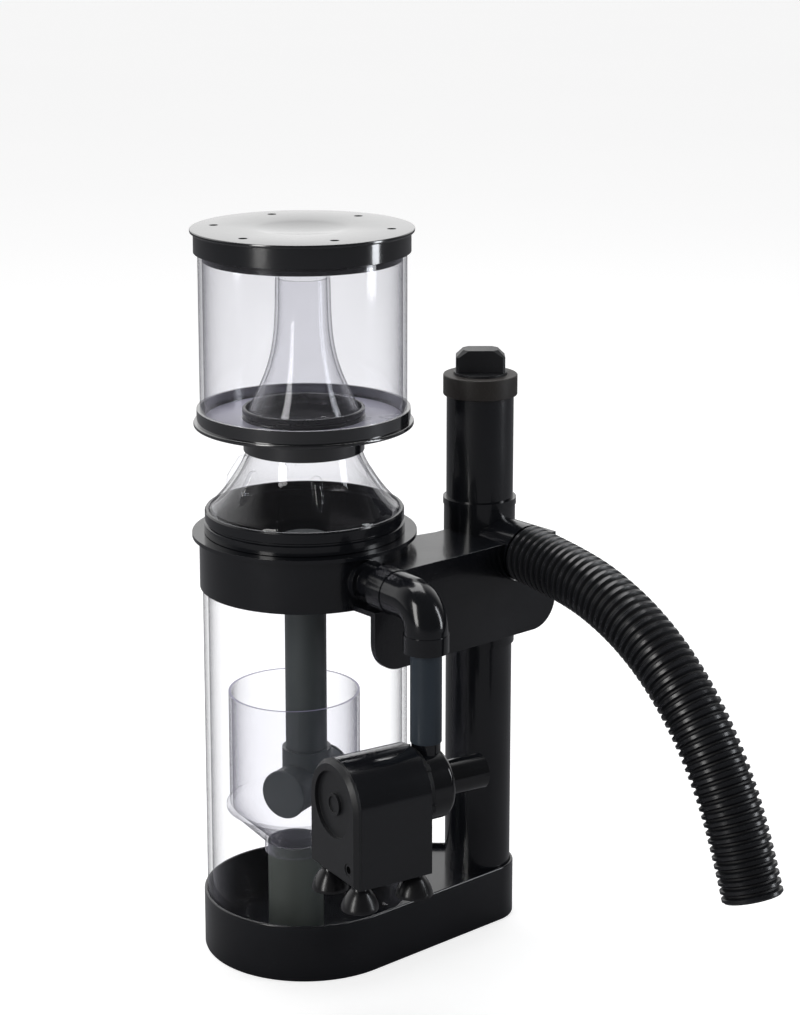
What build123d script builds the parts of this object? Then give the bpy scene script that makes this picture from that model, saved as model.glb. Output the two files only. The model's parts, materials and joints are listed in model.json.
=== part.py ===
"""Hang-on protein skimmer: reaction column, foam cup, overflow riser and side pump.

Millimetres, +Z up.  The origin is on the floor under the axis of the reaction
column, +X points from the column to the overflow riser, and the pump hangs on
the -Y side, where the aquarium is.
"""
from build123d import *
import math
import os

# ---------------------------------------------------------------- fits
FIT = 0.05          # glued or pushed joints inside one body, on the radius
TURN_GAP = 0.06     # running fits that turn or slide, on the radius
FREE_GAP = 0.35     # clear gap between bodies that move apart

# ---------------------------------------------------------------- column and base
COLUMN_R = 60.0
COLUMN_WALL = 3.0
BASE_HEIGHT = 34.5
BASE_WALL = 2.0
FLOOR_T = 4.0
RISER_X = 110.5     # column axis to riser axis
PIPE_R = 20.0
PIPE_WALL = 2.2
DECK_T = 3.0
DECK_DROP = 3.0     # deck surface below the rim of the base
DRAIN_H = 14.0
DRAIN_W = 12.0
DRAIN_ANGLES = (-40, -20, 0, 20, 40)

# ---------------------------------------------------------------- collar and port
COLLAR_Z = 223.6
COLLAR_H = 32.8
COLLAR_WALL = 1.6
COLLAR_THROAT_R = COLUMN_R - 6.0
COLLAR_GRIP = 7.0   # how far the column reaches into the collar
FLANGE_R = COLUMN_R + 5.7
FLANGE_T = 2.4
PORT_ANGLE = -73.7
PORT_Z = 240.0
PORT_REACH = COLUMN_R + 57.0
PORT_R = 9.0
PORT_BORE_R = 7.0
BOSS_R = 12.2
BOSS_OUT = 2.5
STUB_OUT = 28.5     # stub beyond the collar wall

# ---------------------------------------------------------------- elbow, hose, diffuser
DELIVERY_R = 8.9
DELIVERY_WALL = 2.0
ELBOW_R = DELIVERY_R + 3.5
ELBOW_SOCKET_R = DELIVERY_R + 4.0
ELBOW_BEND_R = 14.5
ELBOW_GAP = 15.5    # collar wall to elbow mouth
ELBOW_DROP = 26.7
ELBOW_GRIP = 13.0
DOWNPIPE_R = 12.3
DOWNPIPE_WALL = 1.7
FEED_R = DOWNPIPE_R + 2.3
FEED_ARM_R = 10.6
DIFFUSER_Z = 100.0
DIFFUSER_R = DOWNPIPE_R + 1.9
DIFFUSER_HALF = 24.0
DIFFUSER_WALL = 1.8
DIFFUSER_YAW = 39.6
DIFFUSER_SOCKET_TOP = 122.0
CAP_T = 2.5
SLOT_PITCH = 8.0
SLOT_HALF = 1.4

# ---------------------------------------------------------------- bubble cup
BUBBLE_X = -6.6
BUBBLE_Y = 2.4
BUBBLE_R = 39.0
BUBBLE_WALL = 1.8
BUBBLE_TOP = 157.4
FUNNEL_TOP = 86.0
FUNNEL_BOTTOM = 64.0
BEAD_R = 41.0
STAND_R = 16.6
STAND_WALL = 1.7
STAND_GRIP = 7.0

# ---------------------------------------------------------------- cone
CONE_RING_R = COLLAR_THROAT_R + 4.6
CONE_RING_H = 13.4
CONE_RING_BORE_R = COLLAR_THROAT_R - 2.5
SPIGOT_H = 5.6
CONE_FOOT_R = COLLAR_THROAT_R + 2.2
CONE_NECK_R = 33.6
CONE_WALL = 2.2
CONE_TOP = 316.0
LUG_COUNT = 6
LUG_ANGLE = -98.0
LUG_R = 3.3
LUG_LENGTH = 13.0

# ---------------------------------------------------------------- collecting cup
CUP_FLOOR_Z = 320.0
CUP_FLOOR_T = 4.0
CUP_RIM_H = 6.0
CUP_FLANGE_R = COLUMN_R + 3.9
CUP_FLANGE_T = 2.4
CUP_LIP_R = COLUMN_R + 2.0
CUP_WALL = 2.5
CUP_TOP = 428.4
NECK_R = CONE_NECK_R + 1.6
NECK_H = 15.0
CHIMNEY_TOP = 406.0
CHIMNEY_WALL = 1.8
CHIMNEY_NECK_R = 15.8
CHIMNEY_FOOT_R = CONE_NECK_R - 0.4
GASKET_R = CHIMNEY_FOOT_R + 2.4
GASKET_H = 6.0

# ---------------------------------------------------------------- lid
LID_Z = 421.4
LID_TOP = 435.0
LID_BRIM_R = COLUMN_R + 4.4
LID_BRIM_T = 2.2
LID_SKIRT_R = COLUMN_R + 2.4
LID_TOP_T = 3.4
LID_PLUG_Z = 416.5
LID_PLUG_WALL = 2.2
DISH_R = 29.5
DISH_DEPTH = 2.0
VENT_R = 2.6
VENT_PCD_R = COLUMN_R - 8.5
VENT_ANGLE = -28.0
VENT_COUNT = 6

# ---------------------------------------------------------------- riser and outlet
TEE_Z = 176.0
TEE_TOP = 266.0
TEE_R = PIPE_R + 1.4
TEE_GRIP = 14.0
TEE_STOP_T = 4.0
LIP_R = PIPE_R + 1.9
LIP_H = 4.0
BRANCH_ANGLE = -70.4
BRANCH_Z = 239.5
BRANCH_R = 16.9
BRANCH_BORE_R = 14.2
BRANCH_LENGTH = 41.0
MOUTH_SPARE = 3.0   # cut back square to the hose
SLEEVE_TOP = 333.0
SLEEVE_WINDOW_H = 34.0
CAP_RING_R = PIPE_R + 2.1
CAP_RING_Z = 328.5
CAP_RING_H = 12.5
PLUG_R = PIPE_R - 4.3
PLUG_HEAD_H = 15.0
PLUG_STEM_H = 14.0
PLUG_STEM_R = PIPE_R - 4.1
PLUG_TURN = -20.4
GRIP_HALF = 7.5

# ---------------------------------------------------------------- bracket
BRACKET_ANGLE = 20.6
BRACKET_D = COLUMN_R + 18.8    # column axis to the outer face of the front plate
BRACKET_T = 4.0
BRACKET_Z = 190.0
BRACKET_TOP = 247.6
BRACKET_LEFT = -13.4
BRACKET_RIGHT = 128.6
BRACKET_CORNER_R = 18.0
NOTCH_RIGHT = ELBOW_SOCKET_R - 4.9
NOTCH_Z = PORT_Z - ELBOW_SOCKET_R - 0.5
SHELF_T = 3.0
BRANCH_NOTCH_GAP = 0.8

# ---------------------------------------------------------------- pump
PUMP_YAW = 11.1
PUMP_Z = 136.0
PUMP_R = 25.2
PUMP_DROP = 42.0
PUMP_LENGTH = 49.0
PUMP_OUTLET_X = 60.6
LATCH_T = 2.0
LATCH_HALF = 9.0
LATCH_LOW = 34.0
COVER_T = 4.0
COVER_EDGE = 2.4
DISH_FACE_R = 18.8
DISH_FACE_DEPTH = 2.4
HUB_R = 6.4
VOLUTE_R = 20.4
VOLUTE_END = 69.0
VOLUTE_WALL = 2.4
LOCK_RING_R = 22.2
LOCK_RING_T = 4.0
INLET_R = 9.9
INLET_BORE_R = 7.6
INLET_END = 97.0
NOZZLE_R = 6.8
NOZZLE_BORE_R = 4.6
NOZZLE_BOSS_R = 8.2
NOZZLE_BOSS_TOP = 25.0
NOZZLE_GRIP = 12.0
WELL_R = 11.0
WELL_X = 20.0
MAGNET_R = 9.0
SHAFT_R = 1.5
SHAFT_GRIP = 3.0
VANE_R = 12.5
VANE_X = 53.0
VANE_L = 9.0
VANE_COUNT = 6
BUSH_R = 3.4
CUP_FOOT_X = (8.0, 43.0)
CUP_FOOT_Y = 16.0
CUP_FOOT_H = 14.0
CUP_FOOT_R = 10.4
GLAND_Y = -17.0
GLAND_Z = -32.0
GLAND_R = 3.6

# ---------------------------------------------------------------- outlet hose
HOSE_R = 17.2
HOSE_BORE_R = 14.4
HOSE_ROUTE = [(BRANCH_LENGTH, BRANCH_Z), (83.3, 235.3), (121.4, 223.0), (152.3, 204.4), (178.2, 179.4),
              (198.8, 149.9), (214.6, 117.5), (225.4, 85.3)]
HOSE_ARC_SHARE = 0.45


# ================================================================ helpers
def disc(radius, low, high, x=0.0, y=0.0):
    """A solid upright cylinder from low to high."""
    return Pos(x, y, low) * Cylinder(radius, high - low, align=(Align.CENTER, Align.CENTER, Align.MIN))


def pipe(outer, inner, low, high, x=0.0, y=0.0):
    """An upright tube from low to high."""
    return disc(outer, low, high, x, y) - disc(inner, low - 1, high + 1, x, y)


def turned(points):
    """A solid turned about Z from (radius, height) corners."""
    return revolve(make_face(Plane.XZ * Polyline(points, close=True)), Axis.Z)


def bar(radius, start, end):
    """A round bar along +X from start to end."""
    return Pos(start, 0, 0) * Rot(0, 90, 0) * Cylinder(
        radius, end - start, align=(Align.CENTER, Align.CENTER, Align.MIN))


def block(x0, x1, y0, y1, z0, z1):
    """A box between two corners."""
    return Pos((x0 + x1) / 2, (y0 + y1) / 2, (z0 + z1) / 2) * Box(x1 - x0, y1 - y0, z1 - z0)


def hull_plate(r_column, r_riser, low, high):
    """The outline of the base: two circles and their common tangents."""
    lean = math.asin((r_column - r_riser) / RISER_X)
    corners = []
    for side in (1, -1):
        nx, ny = math.sin(lean), side * math.cos(lean)
        corners.append([(r_column * nx, r_column * ny), (RISER_X + r_riser * nx, r_riser * ny)])
    web = make_face(Polyline([corners[0][0], corners[0][1], corners[1][1], corners[1][0]], close=True))
    body = Pos(0, 0, low) * extrude(web, high - low)
    return body + disc(r_column, low, high) + disc(r_riser, low, high, RISER_X)


def at_port(shape):
    """Turns a shape built along +X at height 0 into the line of the inlet port."""
    return Pos(0, 0, PORT_Z) * Rot(0, 0, PORT_ANGLE) * shape


def at_branch(shape):
    """Turns a shape built along +X into the line of the outlet branch."""
    return Pos(RISER_X, 0, BRANCH_Z) * Rot(0, 0, BRANCH_ANGLE) * shape


def at_bracket(shape):
    """Turns a shape built along +X, with -Y as the outer side, into the bracket's line."""
    return Rot(0, 0, BRACKET_ANGLE) * shape


def at_pump(shape):
    """Places a shape built along the pump's axis, its front face at the origin."""
    port = math.radians(PORT_ANGLE)
    yaw = math.radians(PUMP_YAW)
    x = PORT_REACH * math.cos(port) - PUMP_OUTLET_X * math.cos(yaw)
    y = PORT_REACH * math.sin(port) - PUMP_OUTLET_X * math.sin(yaw)
    return Pos(x, y, PUMP_Z) * Rot(0, 0, PUMP_YAW) * shape


def ring_of(shape, count, first=0.0):
    """Copies of a shape, spaced evenly about Z."""
    return [Rot(0, 0, first + 360.0 * i / count) * shape for i in range(count)]


# ================================================================ base and column
def base_tray():
    tray = hull_plate(COLUMN_R + FIT + BASE_WALL, PIPE_R + FIT + BASE_WALL, 0, BASE_HEIGHT)
    pocket = hull_plate(COLUMN_R + FIT, PIPE_R + FIT, FLOOR_T, BASE_HEIGHT + 1)
    return tray - pocket


def base_deck():
    top = BASE_HEIGHT - DECK_DROP
    deck = hull_plate(COLUMN_R + FIT, PIPE_R + FIT, top - DECK_T, top)
    deck -= disc(COLUMN_R + FIT, top - DECK_T - 1, top + 1)
    return deck - disc(PIPE_R + FIT, top - DECK_T - 1, top + 1, RISER_X)


def reaction_tube():
    tube = pipe(COLUMN_R, COLUMN_R - COLUMN_WALL, FLOOR_T, COLLAR_Z + COLLAR_GRIP)
    for angle in DRAIN_ANGLES:
        sill = FLOOR_T + 3
        slot = block(COLUMN_R - 9, COLUMN_R + 5, -DRAIN_W / 2, DRAIN_W / 2, sill, sill + DRAIN_H)
        tube -= Rot(0, 0, angle) * slot
    return tube


def lower_pipe():
    pipe_body = pipe(PIPE_R, PIPE_R - PIPE_WALL, FLOOR_T, TEE_Z + TEE_GRIP, RISER_X)
    window = block(RISER_X - PIPE_R - 2, RISER_X - PIPE_R / 2, -DRAIN_W / 2, DRAIN_W / 2,
                   FLOOR_T + 3, FLOOR_T + 3 + DRAIN_H)
    return pipe_body - window


# ================================================================ collar and port
def collar():
    top = COLLAR_Z + COLLAR_H
    outer = COLUMN_R + FIT + COLLAR_WALL
    body = disc(outer, COLLAR_Z, top) + disc(FLANGE_R, top - FLANGE_T, top)
    body += at_port(bar(BOSS_R, COLUMN_R - 2, outer + BOSS_OUT))
    body += at_port(bar(PORT_R, COLUMN_R - 2, outer + STUB_OUT))
    body -= disc(COLUMN_R + FIT, COLLAR_Z - 1, COLLAR_Z + COLLAR_GRIP)
    body -= disc(COLLAR_THROAT_R, COLLAR_Z, top + 1)
    return body - at_port(bar(PORT_BORE_R, COLLAR_THROAT_R - 5, outer + STUB_OUT + 1))


def elbow_path():
    mouth = COLUMN_R + FIT + COLLAR_WALL + ELBOW_GAP
    corners = [(mouth, 0, 0), (PORT_REACH, 0, 0), (PORT_REACH, 0, -ELBOW_DROP)]
    return mouth, FilletPolyline(corners, radius=ELBOW_BEND_R)


def inlet_elbow():
    mouth, path = elbow_path()
    section = Plane(origin=(mouth, 0, 0), z_dir=(1, 0, 0))
    body = sweep(section * Circle(ELBOW_R), path)
    body += bar(ELBOW_SOCKET_R, mouth, mouth + ELBOW_GRIP)
    body += disc(ELBOW_SOCKET_R, -ELBOW_DROP, -ELBOW_DROP + ELBOW_GRIP - 3, PORT_REACH)
    body -= sweep(section * Circle(PORT_BORE_R), path)
    body -= bar(PORT_R + FIT, mouth - 1, mouth + ELBOW_GRIP)
    body -= disc(DELIVERY_R + FIT, -ELBOW_DROP - 1, -ELBOW_DROP + ELBOW_GRIP - 2, PORT_REACH)
    return at_port(body)


def delivery_hose():
    low = PUMP_Z + NOZZLE_BOSS_TOP
    high = PORT_Z - ELBOW_DROP + ELBOW_GRIP - 2
    port = math.radians(PORT_ANGLE)
    return pipe(DELIVERY_R, DELIVERY_R - DELIVERY_WALL, low, high,
                PORT_REACH * math.cos(port), PORT_REACH * math.sin(port))


def feed_elbow():
    low = COLLAR_Z + 1
    body = disc(FEED_R, low, PORT_Z + FEED_ARM_R + 1.5)
    body += at_port(bar(FEED_ARM_R, 0, COLLAR_THROAT_R - FIT)
                    & bar(COLLAR_THROAT_R, 0, COLLAR_THROAT_R))
    body &= disc(COLLAR_THROAT_R - FIT, low - 1, PORT_Z + FEED_R)
    body -= disc(DOWNPIPE_R + FIT, low - 1, low + 8)
    body -= disc(DOWNPIPE_R - DOWNPIPE_WALL, low, PORT_Z + PORT_BORE_R)
    return body - at_port(bar(PORT_BORE_R, 0, COLLAR_THROAT_R + 2))


def downpipe():
    return pipe(DOWNPIPE_R, DOWNPIPE_R - DOWNPIPE_WALL, DIFFUSER_Z + DIFFUSER_R, COLLAR_Z + 9)


def diffuser_tee():
    turn = Pos(0, 0, DIFFUSER_Z) * Rot(0, 0, DIFFUSER_YAW)
    socket_wall = DOWNPIPE_R + FIT + DIFFUSER_WALL + 0.4
    body = turn * bar(DIFFUSER_R, -DIFFUSER_HALF, DIFFUSER_HALF)
    body += disc(socket_wall, DIFFUSER_Z, DIFFUSER_SOCKET_TOP)
    body -= turn * bar(DIFFUSER_R - DIFFUSER_WALL, -DIFFUSER_HALF - 1, DIFFUSER_HALF + 1)
    body -= disc(DOWNPIPE_R + FIT, DIFFUSER_Z + DIFFUSER_R, DIFFUSER_SOCKET_TOP + 1)
    body -= disc(DOWNPIPE_R - DOWNPIPE_WALL, DIFFUSER_Z, DIFFUSER_SOCKET_TOP)
    for i in range(-2, 3):
        middle, half = i * SLOT_PITCH, DIFFUSER_R * 0.7
        slot = block(middle - SLOT_HALF, middle + SLOT_HALF, -half, half, -DIFFUSER_R - 1, -DIFFUSER_R / 2)
        body -= turn * slot
    return body


def diffuser_caps():
    turn = Pos(0, 0, DIFFUSER_Z) * Rot(0, 0, DIFFUSER_YAW)
    caps = []
    for side in (-1, 1):
        edge = side * DIFFUSER_HALF
        cap = bar(DIFFUSER_R + 0.4, min(edge, edge + side * CAP_T), max(edge, edge + side * CAP_T))
        caps.append(turn * chamfer(cap.edges().filter_by(GeomType.CIRCLE), 0.6))
    return Compound(children=caps)


# ================================================================ bubble cup
def bubble_cup():
    neck_r = STAND_R + FIT + BUBBLE_WALL
    shell = turned([
        (neck_r, FUNNEL_BOTTOM - STAND_GRIP), (neck_r, FUNNEL_BOTTOM), (BUBBLE_R, FUNNEL_TOP - 1.5),
        (BEAD_R, FUNNEL_TOP - 0.5), (BEAD_R, FUNNEL_TOP + 1.5), (BUBBLE_R, FUNNEL_TOP + 2.5),
        (BUBBLE_R, BUBBLE_TOP), (BUBBLE_R - BUBBLE_WALL, BUBBLE_TOP),
        (BUBBLE_R - BUBBLE_WALL, FUNNEL_TOP), (neck_r - BUBBLE_WALL - 2.5, FUNNEL_BOTTOM + 0.6),
        (neck_r - BUBBLE_WALL - 2.5, FUNNEL_BOTTOM - 1.5), (STAND_R + FIT, FUNNEL_BOTTOM - 1.5),
        (STAND_R + FIT, FUNNEL_BOTTOM - STAND_GRIP)])
    return Pos(BUBBLE_X, BUBBLE_Y, 0) * shell


def bubble_stand():
    stand = pipe(STAND_R, STAND_R - STAND_WALL, FLOOR_T, FUNNEL_BOTTOM - 1.5, BUBBLE_X, BUBBLE_Y)
    for angle in (0, 120, 240):
        slot = block(0, STAND_R + 2, -4, 4, FLOOR_T, FLOOR_T + 9)
        stand -= Pos(BUBBLE_X, BUBBLE_Y, 0) * Rot(0, 0, angle) * slot
    return stand


# ================================================================ cone
def cone_profile(inset):
    """The cone's wall line as (radius, height), moved in by inset."""
    base = COLLAR_Z + COLLAR_H + FREE_GAP + CONE_RING_H
    spread = CONE_FOOT_R - CONE_NECK_R
    drop = inset * 0.4
    rows = [(0.0, 305.0), (0.062, 300.5), (0.385, 287.3 - drop), (0.69, 278.0 - drop), (1.0, base + 0.4)]
    return [(CONE_NECK_R + share * spread - inset, z) for share, z in rows]


def cone():
    ring_top = COLLAR_Z + COLLAR_H + FREE_GAP + CONE_RING_H
    outer = cone_profile(0)
    inner = cone_profile(CONE_WALL)
    foot_z = ring_top - 4.0
    lines = [
        Line((CONE_NECK_R, CONE_TOP), outer[0]), Spline(outer),
        Line(outer[-1], (CONE_FOOT_R, foot_z)),
        Line((CONE_FOOT_R, foot_z), (CONE_FOOT_R - CONE_WALL, foot_z)),
        Line((CONE_FOOT_R - CONE_WALL, foot_z), inner[-1]), Spline(inner[::-1]),
        Line(inner[0], (CONE_NECK_R - CONE_WALL, CONE_TOP)),
        Line((CONE_NECK_R - CONE_WALL, CONE_TOP), (CONE_NECK_R, CONE_TOP))]
    shell = revolve(make_face(Plane.XZ * Wire([e for l in lines for e in l.edges()])), Axis.Z)
    top, low = outer[1], outer[3]
    lean = math.degrees(math.atan2(low[0] - top[0], top[1] - low[1]))
    lug = Cylinder(LUG_R, LUG_LENGTH) + Pos(0, 0, LUG_LENGTH / 2) * Sphere(LUG_R)
    lug += Pos(0, 0, -LUG_LENGTH / 2) * Cone(0.8, LUG_R, 6.0, align=(Align.CENTER, Align.CENTER, Align.MAX))
    lug = Pos(outer[2][0] - 0.6, 0, outer[2][1] + 2.0) * Rot(0, -lean, 0) * lug
    core = [(0, CONE_TOP), (CONE_NECK_R - 1, CONE_TOP)] + [(r - 1.0, z - 0.4) for r, z in outer]
    lug -= turned(core + [(0, outer[-1][1])])
    for one in ring_of(lug, LUG_COUNT, LUG_ANGLE):
        shell += one
    return shell


def cone_ring():
    low = COLLAR_Z + COLLAR_H + FREE_GAP
    top = low + CONE_RING_H
    spigot_r = COLLAR_THROAT_R - TURN_GAP
    seat_r = CONE_FOOT_R + FIT
    return turned([
        (CONE_RING_BORE_R, low - SPIGOT_H), (spigot_r - 0.6, low - SPIGOT_H),
        (spigot_r, low - SPIGOT_H + 0.6),
        (spigot_r, low - 4.4), (spigot_r - 1.4, low - 4.4), (spigot_r - 1.4, low - 2.4),
        (spigot_r, low - 2.4), (spigot_r, low),
        (CONE_RING_R, low), (CONE_RING_R, low + 5.2), (CONE_RING_R - 1.2, low + 5.8),
        (CONE_RING_R - 1.2, low + 6.6), (CONE_RING_R - 0.4, low + 7.2), (CONE_RING_R - 0.4, top - 1.0),
        (CONE_RING_R - 1.0, top), (seat_r, top), (seat_r, top - 4.0),
        (CONE_RING_BORE_R, top - 4.0)])


def cone_seal():
    low = COLLAR_Z + COLLAR_H + FREE_GAP
    spigot_r = COLLAR_THROAT_R - TURN_GAP
    return pipe(spigot_r, spigot_r - 1.4 + FIT, low - 4.4 + FIT, low - 2.4 - FIT)


# ================================================================ collecting cup
def cup_floor():
    low = CUP_FLOOR_Z
    floor = disc(CUP_FLANGE_R, low, low + CUP_FLANGE_T) + disc(CUP_LIP_R, low, low + CUP_FLOOR_T + CUP_RIM_H)
    floor -= disc(COLUMN_R + FIT, low + CUP_FLOOR_T, low + CUP_FLOOR_T + CUP_RIM_H + 1)
    floor += disc(NECK_R, low - NECK_H, low)
    inner = CONE_NECK_R + TURN_GAP
    floor -= disc(inner, low - NECK_H - 1, low - 1.0)
    floor -= disc(CHIMNEY_FOOT_R - CHIMNEY_WALL, low - 2, low + CUP_FLOOR_T + 1)
    rim = floor.edges().filter_by(GeomType.CIRCLE).filter_by(lambda e: abs(e.radius - CUP_FLANGE_R) < 0.01)
    return fillet(rim, 0.8)


def cup_tube():
    low = CUP_FLOOR_Z + CUP_FLOOR_T
    return pipe(COLUMN_R, COLUMN_R - CUP_WALL, low, CUP_TOP)


def chimney():
    base = CUP_FLOOR_Z + CUP_FLOOR_T
    spread = CHIMNEY_FOOT_R - CHIMNEY_NECK_R
    rows = [
        (1.0, base + 2.4), (0.83, 333.0), (0.466, 346.3),
        (0.138, 365.5), (0.029, 385.0), (0.0, CHIMNEY_TOP)]
    outer = [(CHIMNEY_NECK_R + share * spread, z) for share, z in rows]
    inner = [(r - CHIMNEY_WALL, z) for r, z in outer]
    lines = [
        Line((CHIMNEY_FOOT_R, base), outer[0]), Spline(outer), Line(outer[-1], inner[-1]),
        Spline(inner[::-1]), Line(inner[0], (CHIMNEY_FOOT_R - CHIMNEY_WALL, base)),
        Line((CHIMNEY_FOOT_R - CHIMNEY_WALL, base), (CHIMNEY_FOOT_R, base))]
    return revolve(make_face(Plane.XZ * Wire([e for l in lines for e in l.edges()])), Axis.Z)


def chimney_gasket():
    base = CUP_FLOOR_Z + CUP_FLOOR_T
    return turned([
        (CHIMNEY_FOOT_R + FIT, base), (GASKET_R, base), (GASKET_R, base + 1.8), (GASKET_R - 0.7, base + 2.2),
        (GASKET_R - 0.7, base + 3.0), (GASKET_R, base + 3.4), (GASKET_R, base + GASKET_H - 0.6),
        (GASKET_R - 0.6, base + GASKET_H), (CHIMNEY_FOOT_R + 0.5, base + GASKET_H),
        (CHIMNEY_FOOT_R + FIT, base + 2.4)])


# ================================================================ lid
def lid():
    plug_r = COLUMN_R - CUP_WALL - TURN_GAP
    body = disc(LID_SKIRT_R, LID_Z, LID_TOP) + disc(LID_BRIM_R, LID_TOP - LID_BRIM_T, LID_TOP)
    body -= pipe(COLUMN_R + FREE_GAP, plug_r, LID_Z - 1, LID_TOP - LID_TOP_T)
    body -= disc(plug_r - LID_PLUG_WALL, LID_Z - 1, LID_TOP - LID_TOP_T)
    body += pipe(plug_r, plug_r - LID_PLUG_WALL, LID_PLUG_Z, LID_Z + 1)
    body -= pipe(plug_r + 1, plug_r - 1.3, LID_PLUG_Z + 2.5, LID_PLUG_Z + 5.0)
    ball = (DISH_R ** 2 + DISH_DEPTH ** 2) / (2 * DISH_DEPTH)
    body -= Pos(0, 0, LID_TOP - DISH_DEPTH + ball) * Sphere(ball)
    for hole in ring_of(disc(VENT_R, LID_Z, LID_TOP + 1, VENT_PCD_R), VENT_COUNT, VENT_ANGLE):
        body -= hole
    rim = body.edges().filter_by(GeomType.CIRCLE).filter_by(lambda e: abs(e.radius - LID_BRIM_R) < 0.01)
    return fillet(rim, 0.7)


def lid_seal():
    plug_r = COLUMN_R - CUP_WALL - TURN_GAP
    return pipe(plug_r, plug_r - 1.3 + FIT, LID_PLUG_Z + 2.5 + FIT, LID_PLUG_Z + 5.0 - FIT)


# ================================================================ riser and outlet
def outlet_tee():
    body = disc(TEE_R, TEE_Z, TEE_TOP, RISER_X) + disc(LIP_R, TEE_TOP - LIP_H, TEE_TOP, RISER_X)
    body += at_branch(bar(BRANCH_R, 0, BRANCH_LENGTH + MOUTH_SPARE))
    body -= disc(PIPE_R + FIT, TEE_Z - 1, TEE_Z + TEE_GRIP, RISER_X)
    body -= disc(PIPE_R - PIPE_WALL, TEE_Z, TEE_TOP, RISER_X)
    body -= disc(PIPE_R + TURN_GAP, TEE_Z + TEE_GRIP + TEE_STOP_T, TEE_TOP + 1, RISER_X)
    body -= at_branch(bar(BRANCH_BORE_R, 0, BRANCH_LENGTH + MOUTH_SPARE + 1))
    beyond = Box(3 * BRANCH_R, 3 * BRANCH_R, BRANCH_R, align=(Align.CENTER, Align.CENTER, Align.MIN))
    return body - hose_mouth() * beyond


def riser_sleeve():
    low = TEE_Z + TEE_GRIP + TEE_STOP_T + FREE_GAP
    sleeve = pipe(PIPE_R, PIPE_R - PIPE_WALL, low, SLEEVE_TOP, RISER_X)
    half = SLEEVE_WINDOW_H / 2
    window = at_branch(block(5, PIPE_R + 5, -half * 0.8, half * 0.8, -half, half))
    return sleeve - window


def riser_cap_ring():
    ring = pipe(CAP_RING_R, PIPE_R + FIT, CAP_RING_Z, CAP_RING_Z + CAP_RING_H, RISER_X)
    top = CAP_RING_Z + CAP_RING_H
    ring += pipe(PIPE_R + 1, PLUG_STEM_R + TURN_GAP, SLEEVE_TOP, top, RISER_X)
    edges = ring.edges().filter_by(GeomType.CIRCLE).filter_by(lambda e: abs(e.radius - CAP_RING_R) < 0.01)
    return fillet(edges, 0.8)


def riser_plug():
    top = CAP_RING_Z + CAP_RING_H
    stem = disc(PLUG_STEM_R, top - PLUG_STEM_H, top + 1.5)
    head = extrude(RegularPolygon(PLUG_R, 8), PLUG_HEAD_H)
    head = Rot(0, 0, 22.5) * chamfer(head.faces().sort_by(Axis.Z)[-1].edges(), 4.2)
    beside = block(-PLUG_R - 1, PLUG_R + 1, GRIP_HALF, PLUG_R + 1, 1.5, PLUG_HEAD_H + 1)
    head = head - beside - Rot(0, 0, 180) * beside
    return Pos(RISER_X, 0, 0) * (stem + Pos(0, 0, top) * Rot(0, 0, PLUG_TURN) * head)


def hose_route():
    """The hose's corners, in the upright plane of the branch."""
    turn = math.radians(BRANCH_ANGLE)
    return [(RISER_X + s * math.cos(turn), s * math.sin(turn), z) for s, z in HOSE_ROUTE]


def hose_mouth():
    """The plane in which the hose leaves the branch."""
    route = hose_route()
    return Plane(origin=route[0], z_dir=(Vector(*route[1]) - Vector(*route[0])).normalized())


def outlet_hose():
    route = hose_route()
    radii = []
    for before, here, after in zip(route, route[1:], route[2:]):
        into, out = Vector(*here) - Vector(*before), Vector(*after) - Vector(*here)
        half_turn = math.radians(into.get_angle(out)) / 2
        radii.append(HOSE_ARC_SHARE * min(into.length, out.length) / math.tan(half_turn))
    path = FilletPolyline(route, radius=radii)
    section = hose_mouth() * (Circle(HOSE_R) - Circle(HOSE_BORE_R))
    hose = sweep(section, path)
    print("outlet hose radii", [round(r) for r in radii], "length", round(path.length, 1),
          "volume over section times length", round(hose.volume / (section.area * path.length), 4))
    return hose


# ================================================================ bracket
def hang_bracket():
    inner = BRACKET_D - BRACKET_T
    deck_low = BRACKET_TOP - BRACKET_T
    outline = Polyline([(BRACKET_LEFT, BRACKET_Z), (BRACKET_RIGHT, BRACKET_Z), (BRACKET_RIGHT, BRACKET_TOP),
                        (BRACKET_LEFT, BRACKET_TOP)], close=True)
    face = Plane(origin=(0, -inner, 0), x_dir=(1, 0, 0), z_dir=(0, -1, 0))
    plate = extrude(face * make_face(outline), BRACKET_T)
    low_corners = plate.edges().filter_by(Axis.Y).sort_by(Axis.Z)[:2]
    plate = fillet(low_corners, BRACKET_CORNER_R)
    lean = math.radians(BRACKET_ANGLE)
    riser_u, riser_v = RISER_X * math.cos(lean), -RISER_X * math.sin(lean)
    deck = Pos(0, 0, deck_low) * extrude(make_face(Polyline([
        (NOTCH_RIGHT, -BRACKET_D), (BRACKET_RIGHT, -BRACKET_D), (BRACKET_RIGHT, riser_v + 8),
        (riser_u, riser_v + 8), (riser_u - 30, riser_v + 6), (COLUMN_R * 0.8, 2 - COLUMN_R / 2),
        (NOTCH_RIGHT, -COLUMN_R)],
        close=True)), BRACKET_T)
    shelf = block(BRACKET_LEFT, NOTCH_RIGHT, -BRACKET_D, -COLUMN_R * 0.7, NOTCH_Z - SHELF_T, NOTCH_Z)
    body = plate - block(BRACKET_LEFT - 1, NOTCH_RIGHT, -BRACKET_D - 1, -inner + 1, NOTCH_Z, BRACKET_TOP + 1)
    body = at_bracket(body + deck + shelf)
    outer = COLUMN_R + FIT + COLLAR_WALL
    body -= disc(outer, BRACKET_Z, BRACKET_TOP + 1)
    body -= disc(TEE_R, TEE_Z, BRACKET_TOP + 1, RISER_X)
    body -= at_branch(bar(BRANCH_R + BRANCH_NOTCH_GAP, 0, BRACKET_D))
    return body


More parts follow.
